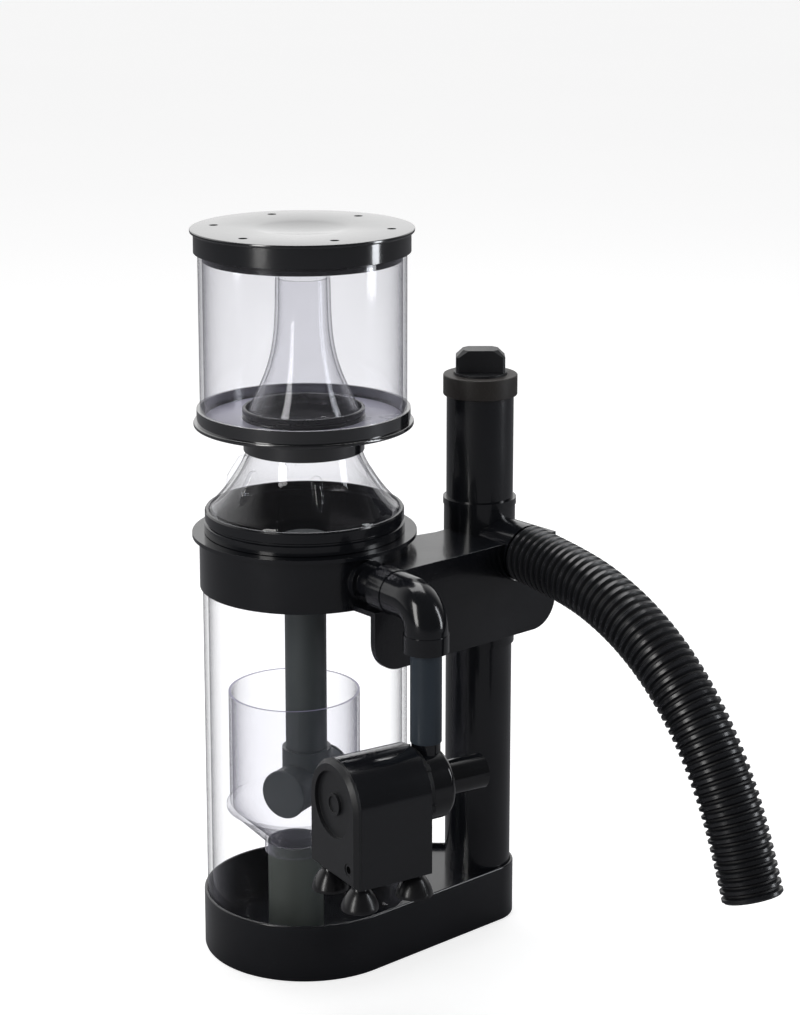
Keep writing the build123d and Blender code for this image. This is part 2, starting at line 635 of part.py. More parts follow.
# ================================================================ pump
def tombstone(radius, drop, start, end):
    """A slab along +X with a round top and a flat bottom."""
    low = block(start, end, -radius, radius, -drop, 0)
    return bar(radius, start, end) + low


def pump_body():
    body = tombstone(PUMP_R, PUMP_DROP, COVER_T, PUMP_LENGTH)
    body -= bar(WELL_R, WELL_X, PUMP_LENGTH + 1)
    body -= bar(SHAFT_R + FIT, WELL_X - SHAFT_GRIP, WELL_X)
    body += block(PUMP_LENGTH, PUMP_LENGTH + LATCH_T, -LATCH_HALF, LATCH_HALF, -LATCH_LOW, -LOCK_RING_R - 2)
    return at_pump(body)


def pump_cover():
    body = tombstone(PUMP_R, PUMP_DROP, 0, COVER_T)
    front = body.faces().sort_by(Axis.X)[0]
    body = chamfer(front.edges(), COVER_EDGE)
    body -= bar(DISH_FACE_R, -1, DISH_FACE_DEPTH)
    hub = bar(HUB_R, 0.6, DISH_FACE_DEPTH) - bar(HUB_R * 0.72, -1, 1.4)
    body += hub
    body -= Pos(0, GLAND_Y, GLAND_Z) * bar(GLAND_R + FIT, -1, COVER_T + 1)
    return at_pump(body)


def cable_gland():
    body = Pos(0, GLAND_Y, GLAND_Z) * (bar(GLAND_R, 0.4, COVER_T) - bar(GLAND_R * 0.6, -1, COVER_T - 1))
    return at_pump(body)


def lock_ring():
    body = bar(LOCK_RING_R, PUMP_LENGTH, PUMP_LENGTH + LOCK_RING_T)
    body -= bar(VOLUTE_R - VOLUTE_WALL - 1, PUMP_LENGTH - 1, PUMP_LENGTH + LOCK_RING_T + 1)
    tab = block(-2, 2, LOCK_RING_R - 0.5, LOCK_RING_R + 1.2, 0, LOCK_RING_T)
    for one in ring_of(tab, 6, 15):
        body += Pos(PUMP_LENGTH, 0, 0) * Rot(0, 90, 0) * one
    return at_pump(body)


def volute():
    start = PUMP_LENGTH + LOCK_RING_T
    body = bar(VOLUTE_R, start, VOLUTE_END)
    body = fillet(body.faces().sort_by(Axis.X)[-1].edges(), 4.0)
    body += bar(INLET_R, VOLUTE_END - 5, INLET_END)
    body += disc(NOZZLE_BOSS_R, 0, NOZZLE_BOSS_TOP, PUMP_OUTLET_X)
    body += disc(NOZZLE_R, 0, NOZZLE_BOSS_TOP + NOZZLE_GRIP, PUMP_OUTLET_X)
    body -= bar(NOZZLE_BOSS_TOP + 1, start - NOZZLE_BOSS_R, start)
    body -= bar(VOLUTE_R - VOLUTE_WALL, start - 1, VOLUTE_END - VOLUTE_WALL)
    body -= bar(INLET_BORE_R, start, INLET_END + 1)
    body -= disc(NOZZLE_BORE_R, VOLUTE_R - VOLUTE_WALL - 4, NOZZLE_BOSS_TOP + NOZZLE_GRIP + 1, PUMP_OUTLET_X)
    body += bar(BUSH_R + 1.2, VOLUTE_END - 4, VOLUTE_END - 0.5) - bar(SHAFT_R + FIT, start, VOLUTE_END)
    for angle in (0, 120, 240):
        rib = block(VOLUTE_END - 4, VOLUTE_END - 0.5, -0.9, 0.9, BUSH_R, INLET_BORE_R + 0.5)
        rib = Rot(angle, 0, 0) * rib
        body += rib
    return at_pump(body)


def pump_shaft():
    return at_pump(bar(SHAFT_R, WELL_X - SHAFT_GRIP, VOLUTE_END - 0.5))


def rotor_magnet():
    body = bar(MAGNET_R, WELL_X + 4, PUMP_LENGTH - 3) - bar(SHAFT_R + TURN_GAP, WELL_X, PUMP_LENGTH)
    return at_pump(body)


def impeller():
    hub_start = PUMP_LENGTH - 3
    body = bar(4.0, hub_start, VANE_X + VANE_L) + bar(VANE_R, VANE_X - 1.5, VANE_X)
    vane = block(VANE_X, VANE_X + VANE_L, -0.7, 0.7, 0, VANE_R)
    for i in range(VANE_COUNT):
        body += Rot(360.0 * i / VANE_COUNT, 0, 0) * vane
    return at_pump(body - bar(SHAFT_R + TURN_GAP, WELL_X, VOLUTE_END))


def suction_cups():
    low = -PUMP_DROP - CUP_FOOT_H
    neck = CUP_FOOT_R * 0.45
    shoulder = (CUP_FOOT_R * 0.82, low + CUP_FOOT_H * 0.45)
    arc = ThreePointArc((neck, -PUMP_DROP - 2.5), shoulder, (CUP_FOOT_R, low + 1.2))
    under = Polyline([(CUP_FOOT_R, low + 1.2), (CUP_FOOT_R, low), (CUP_FOOT_R - 1.2, low),
                      (CUP_FOOT_R * 0.5, low + 3.2), (0, low + 4.2)])
    stem = Polyline([(0, low + 4.2), (0, -PUMP_DROP), (neck, -PUMP_DROP), (neck, -PUMP_DROP - 2.5)])
    outline = Wire([edge for line in (stem, arc, under) for edge in line.edges()])
    cup = revolve(make_face(Plane.XZ * outline), Axis.Z)
    cups = [at_pump(Pos(x, y, 0) * cup) for x in CUP_FOOT_X for y in (-CUP_FOOT_Y, CUP_FOOT_Y)]
    return Compound(children=cups)


# ================================================================ output
PARTS = {
    "base_tray": base_tray, "base_deck": base_deck, "reaction_tube": reaction_tube, "lower_riser_pipe": lower_pipe,
    "collar": collar, "inlet_elbow": inlet_elbow, "delivery_hose": delivery_hose, "feed_elbow": feed_elbow,
    "downpipe": downpipe, "diffuser_tee": diffuser_tee, "diffuser_caps": diffuser_caps, "bubble_cup": bubble_cup,
    "bubble_cup_stand": bubble_stand, "cone": cone, "cone_ring": cone_ring, "cone_seal": cone_seal,
    "cup_floor": cup_floor, "cup_tube": cup_tube, "chimney": chimney, "chimney_gasket": chimney_gasket,
    "lid": lid, "lid_seal": lid_seal, "outlet_tee": outlet_tee, "riser_sleeve": riser_sleeve,
    "riser_cap_ring": riser_cap_ring, "riser_plug": riser_plug, "outlet_hose": outlet_hose,
    "hang_bracket": hang_bracket, "pump_body": pump_body, "pump_cover": pump_cover, "cable_gland": cable_gland,
    "lock_ring": lock_ring, "volute": volute, "pump_shaft": pump_shaft, "rotor_magnet": rotor_magnet,
    "impeller": impeller, "suction_cups": suction_cups,
}


def main():
    os.makedirs("parts", exist_ok=True)
    for name, make in PARTS.items():
        export_step(make(), f"parts/{name}.step")


main()
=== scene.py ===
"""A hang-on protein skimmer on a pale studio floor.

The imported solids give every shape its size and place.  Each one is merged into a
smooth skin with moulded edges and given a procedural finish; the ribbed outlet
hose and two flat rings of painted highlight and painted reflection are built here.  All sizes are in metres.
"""
import json
import logging
import math
from abc import ABC, abstractmethod
from dataclasses import dataclass, field
from enum import Enum
from typing import Iterable

import bmesh
import bpy
from mathutils import Matrix, Vector


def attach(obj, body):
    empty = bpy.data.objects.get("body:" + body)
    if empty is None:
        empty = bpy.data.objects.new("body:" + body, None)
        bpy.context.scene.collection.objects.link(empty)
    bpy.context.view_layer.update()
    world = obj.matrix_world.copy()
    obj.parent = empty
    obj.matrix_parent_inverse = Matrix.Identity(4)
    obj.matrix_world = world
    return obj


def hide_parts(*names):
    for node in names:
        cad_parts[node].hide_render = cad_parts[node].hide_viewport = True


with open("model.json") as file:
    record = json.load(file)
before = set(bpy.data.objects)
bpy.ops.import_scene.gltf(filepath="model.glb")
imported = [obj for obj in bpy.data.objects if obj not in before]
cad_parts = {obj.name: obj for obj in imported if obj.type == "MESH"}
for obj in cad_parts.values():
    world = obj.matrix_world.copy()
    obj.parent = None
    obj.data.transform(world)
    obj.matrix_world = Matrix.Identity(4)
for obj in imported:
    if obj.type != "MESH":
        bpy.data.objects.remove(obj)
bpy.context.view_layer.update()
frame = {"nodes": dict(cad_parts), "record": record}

log = logging.getLogger("skimmer")

MM = 0.001
MERGE_REACH = 0.001 * MM
FLAT_ANGLE = math.radians(0.6)
NO_LENGTH = 1e-9
CREST_LAYER = "crest"
ACRYLIC_IOR = 1.49
Colour = tuple[float, float, float]


# ------------------------------------------------------------------ shader maths
class Value:
    """A number socket, so that shader maths reads as an expression."""

    def __init__(self, graph: "Graph", socket: bpy.types.NodeSocket) -> None:
        """Keeps the socket and the graph that it belongs to."""
        self.graph = graph
        self.socket = socket

    def _math(self, operation: str, first: "Value | float", second: "Value | float") -> "Value":
        """Adds one Math node.

        Args:
            operation: the node's operation.
            first: its first input.
            second: its second input.

        Returns:
            The node's result.
        """
        return self.graph.value("ShaderNodeMath", {"operation": operation}, {0: first, 1: second})

    def __add__(self, other: "Value | float") -> "Value":
        """self + other."""
        return self._math("ADD", self, other)

    def __radd__(self, other: float) -> "Value":
        """other + self."""
        return self._math("ADD", other, self)

    def __rsub__(self, other: float) -> "Value":
        """other - self."""
        return self._math("SUBTRACT", other, self)

    def __mul__(self, other: "Value | float") -> "Value":
        """self * other."""
        return self._math("MULTIPLY", self, other)

    def __rmul__(self, other: float) -> "Value":
        """other * self."""
        return self._math("MULTIPLY", other, self)

    def __pow__(self, other: "Value | float") -> "Value":
        """self to the power of other."""
        return self._math("POWER", self, other)


class Graph:
    """One material's node tree, with short ways to add to it."""

    def __init__(self, name: str) -> None:
        """Makes a material of that name with an empty tree."""
        self.material = bpy.data.materials.new(name)
        self.material.use_nodes = True
        self.tree = self.material.node_tree
        self.tree.nodes.clear()
        self.output = self.node("ShaderNodeOutputMaterial", {}, {})

    def node(self, kind: str, settings: dict[str, object], inputs: dict[str | int, object]) -> bpy.types.Node:
        """Adds a node, sets it up, then fills its sockets.

        Args:
            kind: the node's type.
            settings: its properties; "stops" is a ramp's list of (place, colour).
            inputs: socket name or number to a value, a Value or a socket.

        Returns:
            The node.
        """
        made = self.tree.nodes.new(kind)
        for key, wanted in settings.items():
            if key == "stops":
                self._set_stops(made.color_ramp, wanted)
            else:
                setattr(made, key, wanted)
        for key, wanted in inputs.items():
            socket = made.inputs[key]
            if isinstance(wanted, Value):
                self.tree.links.new(wanted.socket, socket)
            elif isinstance(wanted, bpy.types.NodeSocket):
                self.tree.links.new(wanted, socket)
            else:
                socket.default_value = wanted
        return made

    @staticmethod
    def _set_stops(ramp: bpy.types.ColorRamp, stops: list[tuple[float, Colour]]) -> None:
        """Gives a ramp its stops."""
        while len(ramp.elements) < len(stops):
            ramp.elements.new(1.0)
        for element, (place, colour) in zip(ramp.elements, stops):
            element.position = place
            element.color = (*colour, 1.0)

    def value(self, kind: str, settings: dict[str, object], inputs: dict[str | int, object]) -> Value:
        """Adds a node and wraps its first output."""
        return Value(self, self.node(kind, settings, inputs).outputs[0])

    def place(self) -> bpy.types.NodeSocket:
        """The point's place on the object, in metres."""
        return self.node("ShaderNodeTexCoord", {}, {}).outputs["Object"]

    def noise(self, scale: float, detail: float = 3.0, rough: float = 0.55) -> Value:
        """Soft noise.

        Args:
            scale: waves in a metre.
            detail: octaves.
            rough: how strong the small octaves are.

        Returns:
            A value about 0.5.
        """
        inputs = {"Vector": self.place(), "Scale": scale, "Detail": detail, "Roughness": rough}
        return self.value("ShaderNodeTexNoise", {}, inputs)

    def specks(self, scale: float, reach: float) -> Value:
        """Small round specks.

        Args:
            scale: cells in a metre.
            reach: how much of a cell the speck fills.

        Returns:
            1 in a speck and 0 outside it.
        """
        cells = self.value("ShaderNodeTexVoronoi", {}, {"Vector": self.place(), "Scale": scale})
        return self.fade(cells, reach, 0.0)

    def fade(self, value: Value, low: float, high: float) -> Value:
        """0 at low, 1 at high, smooth between them."""
        settings = {"interpolation_type": "SMOOTHSTEP", "clamp": True}
        return self.value("ShaderNodeMapRange", settings, {0: value, 1: low, 2: high})

    def blend(self, share: Value, first: Colour, second: Colour) -> bpy.types.NodeSocket:
        """Mixes two colours by a share."""
        colours = {0: share, 6: (*first, 1.0), 7: (*second, 1.0)}
        return self.node("ShaderNodeMix", {"data_type": "RGBA"}, colours).outputs[2]

    def tint(self, share: Value, under: bpy.types.NodeSocket, over: Colour) -> bpy.types.NodeSocket:
        """Lays a colour over a colour socket by a share."""
        colours = {0: share, 6: under, 7: (*over, 1.0)}
        return self.node("ShaderNodeMix", {"data_type": "RGBA"}, colours).outputs[2]

    def bump(self, height: Value, strength: float, distance: float) -> bpy.types.NodeSocket:
        """A normal from a height."""
        inputs = {"Height": height, "Strength": strength, "Distance": distance}
        return self.node("ShaderNodeBump", {}, inputs).outputs[0]

    def finish(self, shader: bpy.types.Node) -> bpy.types.Material:
        """Joins the shader to the output and returns the material."""
        self.tree.links.new(shader.outputs[0], self.output.inputs[0])
        return self.material


# ------------------------------------------------------------------ finishes
@dataclass(frozen=True)
class Finish(ABC):
    """A surface finish that makes its own material.

    Attributes:
        name: the material's name.
        slot: the part's material slot that it stands for; not used.
    """

    name: str
    slot: str

    @abstractmethod
    def make(self) -> bpy.types.Material:
        """Builds the material."""

    def material(self) -> bpy.types.Material:
        """The finish's material, made once."""
        return bpy.data.materials.get(self.name) or self.make()


@dataclass(frozen=True)
class MouldedPlastic(Finish):
    """Injection-moulded plastic with a faint flow pattern, dust and orange peel.

    Attributes:
        deep: the darker colour.
        pale: the lighter colour.
        roughness: the polish of a clean patch.
        uneven: how much the polish varies.
        dust: how much dust lies on it.
        peel: how strong the fine ripple is.
        coat: weight of the clear top layer.
        peel_scale: ripples in a metre.
        ior: how strongly it mirrors.
        flow_scale: flow marks in a metre.
        fine_scale: fine mottles in a metre.
        speck_scale: cells in a metre that may hold a speck of dust.
        speck_reach: how much of a cell the speck fills.
        dust_patch: patches of dust in a metre.
        dust_tone: the colour of the dust.
    """

    deep: Colour = (0.0045, 0.005, 0.0065)
    pale: Colour = (0.011, 0.012, 0.0155)
    roughness: float = 0.13
    uneven: float = 0.10
    dust: float = 0.10
    peel: float = 0.10
    coat: float = 0.35
    peel_scale: float = 420.0
    ior: float = 1.46
    flow_scale: float = 22.0
    fine_scale: float = 310.0
    speck_scale: float = 900.0
    speck_reach: float = 0.16
    dust_patch: float = 60.0
    dust_tone: Colour = (0.35, 0.36, 0.38)

    def make(self) -> bpy.types.Material:
        """Builds the material."""
        graph = Graph(self.name)
        flow = graph.noise(self.flow_scale, 4.0)
        fine = graph.noise(self.fine_scale, 3.0)
        patches = graph.fade(graph.noise(self.dust_patch), 0.48, 0.66)
        specks = graph.specks(self.speck_scale, self.speck_reach) * patches
        colour = graph.tint(specks * self.dust, graph.blend(flow, self.deep, self.pale), self.dust_tone)
        polish = self.roughness + self.uneven * graph.fade(flow, 0.35, 0.7)
        roughness = polish + 0.05 * fine + specks * 0.2
        ripple = graph.noise(self.peel_scale, 2.0) + 0.5 * graph.noise(35.0, 2.0)
        shader = graph.node("ShaderNodeBsdfPrincipled", {}, {
            "Base Color": colour, "Roughness": roughness, "Normal": graph.bump(ripple, self.peel, 0.0004),
            "Coat Weight": self.coat, "Coat Roughness": 0.06, "IOR": self.ior})
        return graph.finish(shader)


@dataclass(frozen=True)
class ClearAcrylic(Finish):
    """Polished clear wall: see-through face on, tinted and bright at its edges.

    Attributes:
        body: the colour seen through a clear face.
        edge: the colour where the wall is seen along its thickness.
        veil: the least share that the wall hides.
        reach: how far in from the edge the tint comes, a larger power is narrower.
        strength: how strong the tint is at the very edge.
        least_gloss: the share of a face-on surface that mirrors.
        most_gloss: how much more an edge mirrors.
        haze_scale: waves of haze in a metre.
        fine_scale: waves of the finest ripple in a metre.
        haze: the most that a hazy patch hides.
    """

    body: Colour = (0.975, 0.975, 0.985)
    edge: Colour = (0.30, 0.30, 0.37)
    veil: float = 0.002
    reach: float = 6.0
    strength: float = 0.45
    least_gloss: float = 0.035
    most_gloss: float = 0.6
    haze_scale: float = 40.0
    fine_scale: float = 700.0
    haze: float = 0.004

    def make(self) -> bpy.types.Material:
        """Builds the material."""
        graph = Graph(self.name)
        facing = graph.node("ShaderNodeLayerWeight", {}, {"Blend": 0.5}).outputs["Facing"]
        haze = graph.noise(self.haze_scale, 4.0)
        fine = graph.noise(self.fine_scale, 2.0)
        tint = graph.blend(haze, self.edge, tuple(0.4 + 0.6 * part for part in self.edge))
        normal = graph.bump(haze + 0.1 * fine, 0.05, 0.0006)
        wall = graph.node("ShaderNodeBsdfPrincipled", {}, {
            "Base Color": tint, "Roughness": 0.05 + 0.06 * haze, "Normal": normal, "IOR": ACRYLIC_IOR})
        clear = graph.node("ShaderNodeBsdfTransparent", {}, {"Color": (*self.body, 1.0)})
        along = Value(graph, facing) ** self.reach
        share = self.veil + self.haze * graph.fade(haze, 0.52, 0.72) + self.strength * along
        seen = graph.node("ShaderNodeMixShader", {}, {0: share, 1: clear.outputs[0], 2: wall.outputs[0]})
        gloss = graph.node("ShaderNodeBsdfPrincipled", {}, {
            "Base Color": (1.0, 1.0, 1.0, 1.0), "Metallic": 1.0, "Roughness": 0.04, "Normal": normal})
        mirror = self.least_gloss + self.most_gloss * Value(graph, facing) ** 5.0
        return graph.finish(graph.node("ShaderNodeMixShader", {}, {
            0: mirror, 1: seen.outputs[0], 2: gloss.outputs[0]}))


@dataclass(frozen=True)
class RibbedRubber(Finish):
    """Corrugated hose: satin crests, duller dust in the valleys.

    Attributes:
        deep: the colour of the rubber.
        pale: its colour where it is rubbed.
        dull: how rough a groove is.
        rubbed: how much smoother a crest is.
    """

    deep: Colour = (0.006, 0.0065, 0.008)
    pale: Colour = (0.022, 0.023, 0.027)
    dull: float = 0.46
    rubbed: float = 0.24

    def make(self) -> bpy.types.Material:
        """Builds the material."""
        graph = Graph(self.name)
        attribute = graph.node("ShaderNodeAttribute", {"attribute_name": CREST_LAYER}, {})
        crest = Value(graph, attribute.outputs["Fac"])
        wear = graph.noise(55.0, 4.0) * crest
        fine = graph.noise(900.0, 3.0)
        roughness = self.dull - self.rubbed * crest + 0.08 * fine
        shader = graph.node("ShaderNodeBsdfPrincipled", {}, {
            "Base Color": graph.blend(wear, self.deep, self.pale), "Roughness": roughness,
            "Normal": graph.bump(fine, 0.12, 0.0002), "Specular IOR Level": 0.55})
        return graph.finish(shader)


@dataclass(frozen=True)
class Ceramic(Finish):
    """Polished white ceramic with a faint mottle."""

    def make(self) -> bpy.types.Material:
        """Builds the material."""
        graph = Graph(self.name)
        mottle = graph.noise(500.0, 3.0)
        shader = graph.node("ShaderNodeBsdfPrincipled", {}, {
            "Base Color": graph.blend(mottle, (0.74, 0.73, 0.70), (0.84, 0.83, 0.80)),
            "Roughness": 0.15 + 0.1 * mottle})
        return graph.finish(shader)


BLACK = MouldedPlastic("gloss_black_plastic", "black_plastic")
LID_BLACK = MouldedPlastic(
    "lid_black_plastic", "black_plastic", roughness=0.1, uneven=0.06, dust=0.25, peel=0.04, coat=1.0, ior=1.8)
PUMP_BLACK = MouldedPlastic(
    "pump_black_plastic", "black_plastic", roughness=0.09, uneven=0.06, peel=0.06, coat=0.6)
SATIN = MouldedPlastic(
    "satin_dark_plastic", "satin_plastic", deep=(0.012, 0.0125, 0.014), pale=(0.022, 0.023, 0.026),
    roughness=0.34, uneven=0.12, dust=0.25, peel=0.25, coat=0.05, peel_scale=1400.0)
GREY_PIPE = MouldedPlastic(
    "grey_pipe_plastic", "grey_pvc", deep=(0.056, 0.066, 0.068), pale=(0.09, 0.102, 0.105),
    roughness=0.32, uneven=0.12, dust=0.3, peel=0.12, coat=0.1)
STAND_GREY = MouldedPlastic(
    "stand_grey_plastic", "grey_pvc", deep=(0.095, 0.11, 0.10), pale=(0.14, 0.155, 0.145),
    roughness=0.34, uneven=0.1, dust=0.3, coat=0.05)
SLATE_TUBE = MouldedPlastic(
    "slate_tube", "slate_hose", deep=(0.028, 0.040, 0.054), pale=(0.042, 0.056, 0.074),
    roughness=0.33, uneven=0.1, dust=0.2, peel=0.12, coat=0.1)
RUBBER = MouldedPlastic(
    "brown_black_rubber", "soft_rubber", deep=(0.022, 0.019, 0.017), pale=(0.042, 0.037, 0.033),
    roughness=0.42, uneven=0.14, dust=0.4, peel=0.3, coat=0.0, peel_scale=1100.0)
CUP_RUBBER = MouldedPlastic(
    "suction_cup_rubber", "soft_rubber", deep=(0.006, 0.006, 0.007), pale=(0.014, 0.014, 0.016),
    roughness=0.22, uneven=0.1, dust=0.3, peel=0.1, coat=0.2)
# Painted highlight: a pale lilac colour for the flat ring on the bubble cup's rim, standing in for the light
# that the rim catches.
LILAC_RIM_HIGHLIGHT = MouldedPlastic(
    "painted_lilac_rim_highlight", "clear_acrylic", deep=(0.34, 0.32, 0.50), pale=(0.46, 0.44, 0.62),
    roughness=0.12, uneven=0.1, dust=0.1, peel=0.02, coat=0.5)
# Painted reflection: a pale lilac colour for the flat ring on the cup's floor, standing in for the bright
# room that the floor mirrors.
FLOOR_PAINTED_REFLECTION = MouldedPlastic(
    "cup_floor_painted_reflection", "black_plastic", deep=(0.50, 0.49, 0.60), pale=(0.72, 0.70, 0.82),
    roughness=0.25, uneven=0.2, dust=0.2, peel=0.05, coat=0.3)
TUBE_ACRYLIC = ClearAcrylic(
    "clear_tube_acrylic", "clear_acrylic", body=(0.995, 0.995, 0.999), edge=(0.26, 0.26, 0.34),
    veil=0.0, reach=5.0, strength=0.6, least_gloss=0.008)
CUP_ACRYLIC = ClearAcrylic(
    "clear_cup_acrylic", "clear_acrylic", edge=(0.34, 0.33, 0.42), veil=0.008, reach=3.6, strength=0.55)
CONE_ACRYLIC = ClearAcrylic(
    "clear_cone_acrylic", "clear_acrylic", edge=(0.20, 0.20, 0.25), veil=0.004, reach=4.0, strength=0.6)
BUBBLE_ACRYLIC = ClearAcrylic(
    "clear_bubble_acrylic", "clear_acrylic", body=(0.985, 0.985, 0.995), edge=(0.36, 0.34, 0.48),
    veil=0.012, reach=2.6, strength=0.7, least_gloss=0.02)
HOSE_RUBBER = RibbedRubber("ribbed_hose_rubber", "ribbed_hose")
CERAMIC = Ceramic("white_ceramic", "ceramic_white")


# ------------------------------------------------------------------ skins of the solids
class Crease(Enum):
    """The angle between faces, in degrees, past which an edge stays sharp."""

    SOFT = 48.0
    MOULDED = 30.0


@dataclass(frozen=True)
class Skin:
    """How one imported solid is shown.

    Attributes:
        finish: its surface.
        edge: the width of its moulded edges, or 0 for none.
        crease: where its shading breaks.
    """

    finish: Finish
    edge: float = 0.0
    crease: Crease = Crease.MOULDED


def body_of(node: str) -> str:
    """The body that a node belongs to."""
    bodies = frame["record"]["behaviour"]["bodies"]
    return next(body for body, nodes in bodies.items() if node in nodes)


def add_piece(
    name: str, shape: bmesh.types.BMesh, finish: Finish, body: str, crease: Crease
) -> bpy.types.Object:
    """Turns a finished bmesh into a piece of the object.

    Args:
        name: the piece's name.
        shape: its mesh, which is freed.
        finish: its surface.
        body: the body that it rides on.
        crease: where its shading breaks.

    Returns:
        The piece.
    """
    limit = math.radians(crease.value)
    for face in shape.faces:
        face.smooth = True
    for edge in shape.edges:
        edge.smooth = not edge.is_manifold or edge.calc_face_angle(0.0) < limit
    mesh = bpy.data.meshes.new(name)
    shape.to_mesh(mesh)
    shape.free()
    mesh.materials.append(finish.material())
    piece = bpy.data.objects.new(name, mesh)
    bpy.context.scene.collection.objects.link(piece)
    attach(piece, body)
    return piece


def show_node(node: str, skin: Skin) -> bpy.types.Object:
    """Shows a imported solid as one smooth, edged skin.

    Args:
        node: the solid's node.
        skin: how it is shown.

    Returns:
        The piece that stands for the node.
    """
    shape = bmesh.new()
    shape.from_mesh(frame["nodes"][node].data)
    bmesh.ops.remove_doubles(shape, verts=shape.verts, dist=MERGE_REACH)
    if skin.edge:
        bmesh.ops.dissolve_limit(shape, angle_limit=FLAT_ANGLE, verts=shape.verts, edges=shape.edges)
    piece = add_piece(node + "_skin", shape, skin.finish, body_of(node), skin.crease)
    if skin.edge:
        bevel = piece.modifiers.new("moulded_edge", "BEVEL")
        bevel.width = skin.edge
        bevel.segments = 2
        bevel.limit_method = "ANGLE"
        bevel.angle_limit = math.radians(skin.crease.value)
        bevel.harden_normals = True
    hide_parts(node)
    return piece


@dataclass(frozen=True)
class Band:
    """A flat ring that lies on a surface; here it carries painted highlight and painted reflection.

    Attributes:
        name: the piece's name.
        body: the body that it rides on.
        finish: its surface.
        centre: its middle.
        inner: its inner radius.
        outer: its outer radius.
        around: faces round it.
    """

    name: str
    body: str
    finish: Finish
    centre: tuple[float, float, float]
    inner: float
    outer: float
    around: int = 96

    def build(self) -> bpy.types.Object:
        """Makes the ring."""
        shape = bmesh.new()
        for radius in (self.inner, self.outer):
            bmesh.ops.create_circle(shape, segments=self.around, radius=radius,
                                    matrix=Matrix.Translation(self.centre))
        bmesh.ops.bridge_loops(shape, edges=shape.edges[:])
        bmesh.ops.recalc_face_normals(shape, faces=shape.faces)
        return add_piece(self.name, shape, self.finish, self.body, Crease.SOFT)


@dataclass
class SubAssembly(ABC):
    """A group of the object's pieces.

    Attributes:
        pieces: what it has made.
    """

    pieces: list[bpy.types.Object] = field(default_factory=list, init=False)

    @abstractmethod
    def skins(self) -> dict[str, Skin]:
        """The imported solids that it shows, and how."""

    def details(self) -> Iterable[bpy.types.Object]:
        """Pieces that only this script has."""
        return ()

    def build(self) -> None:
        """Makes all its pieces and reports them."""
        self.pieces.extend(show_node(node, skin) for node, skin in self.skins().items())
        self.pieces.extend(self.details())
        for piece in self.pieces:
            log.info("%s: %s, %d faces", type(self).__name__, piece.name, len(piece.data.polygons))


@dataclass
class Base(SubAssembly):
    """The tray that the column and the riser stand in."""

    edge: float = 0.9 * MM

    def skins(self) -> dict[str, Skin]:
        """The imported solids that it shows, and how."""
        return {
            "base_tray": Skin(BLACK, self.edge),
            "base_deck": Skin(BLACK),
        }


@dataclass
class Column(SubAssembly):
    """The clear column, its collar and what stands in it."""

    edge: float = 0.5 * MM
    cup_centre: tuple[float, float] = (-6.6 * MM, 2.4 * MM)
    cup_radius: float = 39.0 * MM
    cup_top: float = 157.4 * MM

    def skins(self) -> dict[str, Skin]:
        """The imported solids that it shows, and how."""
        return {
            "reaction_tube": Skin(TUBE_ACRYLIC),
            "collar": Skin(BLACK, self.edge),
            "feed_elbow": Skin(GREY_PIPE),
            "downpipe": Skin(GREY_PIPE),
            "diffuser_tee": Skin(GREY_PIPE),
            "diffuser_caps": Skin(GREY_PIPE),
            "bubble_cup": Skin(BUBBLE_ACRYLIC),
            "bubble_cup_stand": Skin(STAND_GREY),
        }

    def details(self) -> Iterable[bpy.types.Object]:
        """A lilac ring of painted highlight on the bubble cup's rim."""
        body = body_of("bubble_cup")
        yield Band("bubble_cup_rim_highlight", body, LILAC_RIM_HIGHLIGHT, (*self.cup_centre, self.cup_top + 0.05 * MM),
                   self.cup_radius - 1.5 * MM, self.cup_radius).build()


@dataclass
class Inlet(SubAssembly):
    """The elbow on the collar and the tube down to the pump."""

    def skins(self) -> dict[str, Skin]:
        """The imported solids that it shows, and how."""
        return {"inlet_elbow": Skin(BLACK), "delivery_hose": Skin(SLATE_TUBE)}


@dataclass
class FoamCone(SubAssembly):
    """The clear cone and the ring that locks it into the collar."""

    def skins(self) -> dict[str, Skin]:
        """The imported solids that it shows, and how."""
        return {
            "cone": Skin(CONE_ACRYLIC, crease=Crease.SOFT),
            "cone_ring": Skin(BLACK),
            "cone_seal": Skin(CUP_RUBBER),
        }


@dataclass
class FoamCup(SubAssembly):
    """The collecting cup with its chimney."""

    # Height and radii of the ring of painted reflection on the cup's floor.
    reflection_height: float = 324.1 * MM
    reflection_radii: tuple[float, float] = (36.0 * MM, 57.2 * MM)

    def skins(self) -> dict[str, Skin]:
        """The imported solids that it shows, and how."""
        return {
            "cup_floor": Skin(LID_BLACK, crease=Crease.SOFT),
            "cup_tube": Skin(CUP_ACRYLIC),
            "chimney": Skin(CUP_ACRYLIC, crease=Crease.SOFT),
            "chimney_gasket": Skin(CUP_RUBBER),
        }

    def details(self) -> Iterable[bpy.types.Object]:
        """A pale lilac ring of painted reflection on the cup's floor."""
        body = body_of("cup_floor")
        yield Band("cup_floor_painted_reflection", body, FLOOR_PAINTED_REFLECTION, (0.0, 0.0, self.reflection_height), *self.reflection_radii).build()


@dataclass
class Lid(SubAssembly):
    """The lid with its dish, vents and plug seal."""

    def skins(self) -> dict[str, Skin]:
        """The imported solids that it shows, and how."""
        return {"lid": Skin(LID_BLACK), "lid_seal": Skin(CUP_RUBBER)}


